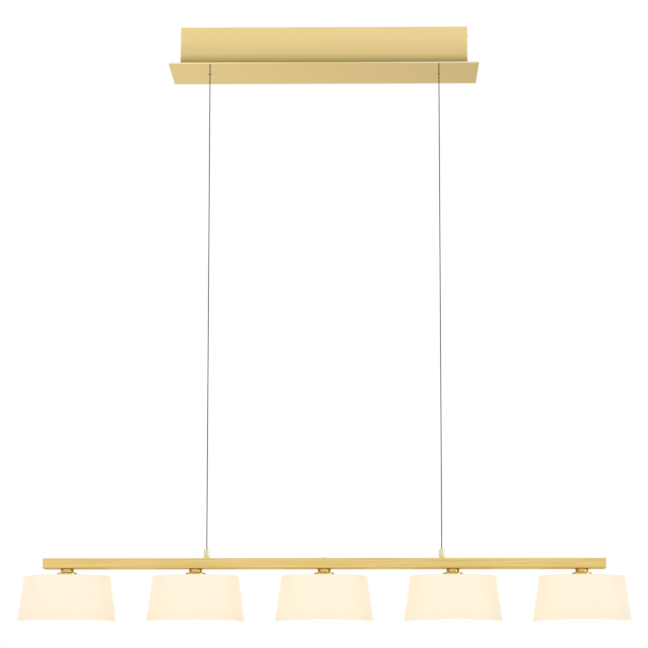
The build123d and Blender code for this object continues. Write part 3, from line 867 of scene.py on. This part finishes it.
def make_bulb(number):
    """A capsule bulb: a moulded base in the holder and a lit silicone body with a round tip."""
    low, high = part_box(f"led_bulb_{number}")
    x = middle(f"led_bulb_{number}").x
    radius = (high.x - low.x) / 2
    holder_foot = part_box(f"lamp_holder_{number}")[0].z - low.z
    top = holder_foot + HOLDER_MOUTH_DEPTH - FIT_GAP
    outline = [Vector((0, 0))]
    for step in range(1, BULB_TIP_STEPS + 1):
        angle = math.pi / 2 * step / BULB_TIP_STEPS
        outline.append(Vector((radius * math.sin(angle), radius * (1 - math.cos(angle)))))
    outline += rounded([
        (0, radius, 0),
        (radius, radius + BULB_LIP, 0),
        (radius, holder_foot - FIT_GAP, BULB_LIP),
        (BULB_BASE_RADIUS, holder_foot - FIT_GAP, 0),
        (BULB_BASE_RADIUS, top, BULB_LIP),
        (0, top, 0),
    ])[1:]
    bulb = lathe(
        f"capsule_bulb_{number}", outline, (x, 0, low.z), [materials["lit_bulb"]], segments=BULB_SEGMENTS
    )
    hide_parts(f"led_bulb_{number}")
    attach(bulb, "pendant")


# The glass

SHADE_TOP_RADIUS = 87.5 * MM
SHADE_WALL = 3.2 * MM
SHADE_HOLE = 13.3 * MM
SHADE_SHOULDER = 2.4 * MM
SHADE_INNER_SHOULDER = 0.4 * MM
SHADE_HOLE_EDGE = 0.4 * MM
SHADE_RIM = 1.3 * MM
SHADE_SEGMENTS = 160


def make_shade(number):
    """A blown opal drum with a rounded shoulder and a fire-polished rim."""
    x = middle(f"opal_shade_{number}").x
    bottom_radius = (shade_high.x - shade_low.x) / 2
    height = shade_high.z - shade_low.z
    corners = [
        (SHADE_HOLE, 0, SHADE_HOLE_EDGE),
        (SHADE_TOP_RADIUS, 0, SHADE_SHOULDER),
        (bottom_radius, -height, SHADE_RIM),
        (bottom_radius - SHADE_WALL, -height, SHADE_RIM),
        (SHADE_TOP_RADIUS - SHADE_WALL, -SHADE_WALL, SHADE_INNER_SHOULDER),
        (SHADE_HOLE, -SHADE_WALL, SHADE_HOLE_EDGE),
    ]
    slope = (bottom_radius - SHADE_TOP_RADIUS) / height

    def inside(radius, level):
        return radius < SHADE_TOP_RADIUS - SHADE_WALL / 2 - slope * level and level < -SHADE_WALL / 2

    shade = lathe(
        f"opal_drum_{number}", rounded(corners), (x, 0, shade_high.z),
        [materials["opal_glass"], materials["opal_inside"]], segments=SHADE_SEGMENTS, inner_from=inside,
    )
    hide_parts(f"opal_shade_{number}")
    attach(shade, "pendant")


# The studio: a pale floor well below, a white world and soft lamps

FLOOR_LEVEL = -2.6
FLOOR_RADIUS = 16.0
FLOOR_STEPS = 128
FLOOR_COLOUR = srgb(240, 240, 238)
FLOOR_GLOW = 0.42
FLOOR_ROUGHNESS = 0.8
WORLD_LEVEL = 0.62
STUDIO_LAMPS = {
    "key": dict(
        place=(-4.0, -1.6, 1.4), target=(0, 0, -0.7), size=2.4, watts=34, colour=srgb(255, 250, 242),
    ),
    "fill": dict(
        place=(4.0, -1.4, 0.2), target=(0, 0, -0.9), size=2.4, watts=22, colour=srgb(250, 250, 252),
    ),
    "back": dict(
        place=(0.4, 3.2, 0.6), target=(0, 0, -0.8), size=2.2, watts=20, colour=srgb(255, 255, 255),
        mirrored=False,
    ),
    "front": dict(
        place=(0.0, -3.4, -1.4), target=(0, 0, -1.15), size=0.9, watts=28, colour=srgb(255, 250, 240),
        mirrored=False,
    ),
}


def plain_view(tree):
    """One where the camera, a mirror or a clear piece looks, and nought for any other ray."""
    path = tree.nodes.new("ShaderNodeLightPath")
    seen = path.outputs["Is Camera Ray"]
    for output in ("Is Glossy Ray", "Is Transmission Ray"):
        either = tree.nodes.new("ShaderNodeMath")
        either.operation = "MAXIMUM"
        tree.links.new(seen, either.inputs[0])
        tree.links.new(path.outputs[output], either.inputs[1])
        seen = either.outputs["Value"]
    return seen


def make_floor():
    """A pale floor that takes the shadow, and that isn't there for a view from below it."""
    turns = [2 * math.pi * step / FLOOR_STEPS for step in range(FLOOR_STEPS)]
    points = [(FLOOR_RADIUS * math.cos(turn), FLOOR_RADIUS * math.sin(turn), FLOOR_LEVEL) for turn in turns]
    surface = Surface("floor", FLOOR_ROUGHNESS, emission_color=FLOOR_COLOUR)
    grain = surface.noise(even(30.0))
    surface.connect(
        "Base Color", surface.mix(surface.spread(grain, 0, 1), FLOOR_COLOUR, scaled(FLOOR_COLOUR, 0.97))
    )
    seen = plain_view(surface.tree)
    surface.connect("Emission Strength", surface.spread(seen, 0, FLOOR_GLOW, start=0, end=1))
    clear = surface.node("ShaderNodeBsdfTransparent")
    under = surface.node("ShaderNodeNewGeometry").outputs["Backfacing"]
    both = surface.node(
        "ShaderNodeMixShader", {0: under, 1: surface.shader.outputs["BSDF"], 2: clear.outputs["BSDF"]}
    )
    surface.tree.links.new(both.outputs["Shader"], surface.tree.nodes["Material Output"].inputs["Surface"])
    floor = add_mesh("floor", points, [tuple(range(FLOOR_STEPS))], [surface.material])
    if floor.data.polygons[0].normal.z < 0:
        floor.data.flip_normals()


def make_world():
    """White where the camera, a mirror or a clear piece looks, and softer as a light."""
    world = bpy.data.worlds.new("studio")
    bpy.context.scene.world = world
    world.use_nodes = True
    tree = world.node_tree
    background = tree.nodes["Background"]
    background.inputs["Color"].default_value = (1.0, 1.0, 1.0, 1.0)
    seen = plain_view(tree)
    level = tree.nodes.new("ShaderNodeMapRange")
    level.inputs["To Min"].default_value = WORLD_LEVEL
    level.inputs["To Max"].default_value = 1.0
    tree.links.new(seen, level.inputs["Value"])
    tree.links.new(level.outputs["Result"], background.inputs["Strength"])


def make_lamp(name, place, target, size, watts, colour, mirrored=True):
    """A round soft lamp. One that isn't mirrored doesn't show in polished metal."""
    data = bpy.data.lights.new(name, "AREA")
    data.shape = "DISK"
    data.size = size
    data.energy = watts
    data.color = colour[:3]
    lamp = bpy.data.objects.new(name, data)
    lamp.location = place
    lamp.rotation_euler = (Vector(target) - Vector(place)).to_track_quat("-Z", "Y").to_euler()
    lamp.visible_glossy = mirrored
    bpy.context.scene.collection.objects.link(lamp)


FLAG_NEAR = (2.1, 0.1)
FLAG_FAR = (1.1, 2.6)
FLAG_HEIGHT = 0.3
FLAG_LIFT = -0.24
FLAG_COLOUR = srgb(34, 28, 20)


def make_flag(name, side):
    """A dark upright card beside and behind the light, which only polished metal shows."""
    surface = Surface(name, roughness=1.0)
    surface.shader.inputs["Base Color"].default_value = FLAG_COLOUR
    centre = middle("bar_profile").z + FLAG_LIFT
    points = [
        (side * x, y, centre + up * FLAG_HEIGHT / 2)
        for (x, y), up in ((FLAG_NEAR, -1), (FLAG_FAR, -1), (FLAG_FAR, 1), (FLAG_NEAR, 1))
    ]
    card = add_mesh(name, points, [(0, 1, 2, 3)], [surface.material])
    card.visible_camera = False
    card.visible_diffuse = False
    card.visible_shadow = False
    card.visible_transmission = False


make_camera()
for side in SIDES:
    make_cable(side)
for number in LAMPS:
    make_neck(number)
    make_shade(number)
    make_holder(number)
    make_ring(number)
    make_bulb(number)
make_button()
make_spring()
for side in SIDES:
    make_sleeve(side)
    make_guide(side)

for row in frame["record"]["subparts"]:
    if not nodes[row["node"]].hide_render:
        dress(row["node"], OWN_FINISH.get(row["node"], row["material_slot"]))

make_floor()
make_world()
make_flag("flag_left", -1)
make_flag("flag_right", 1)
for name, setting in STUDIO_LAMPS.items():
    make_lamp(name, **setting)

bpy.context.scene.view_settings.view_transform = "Standard"
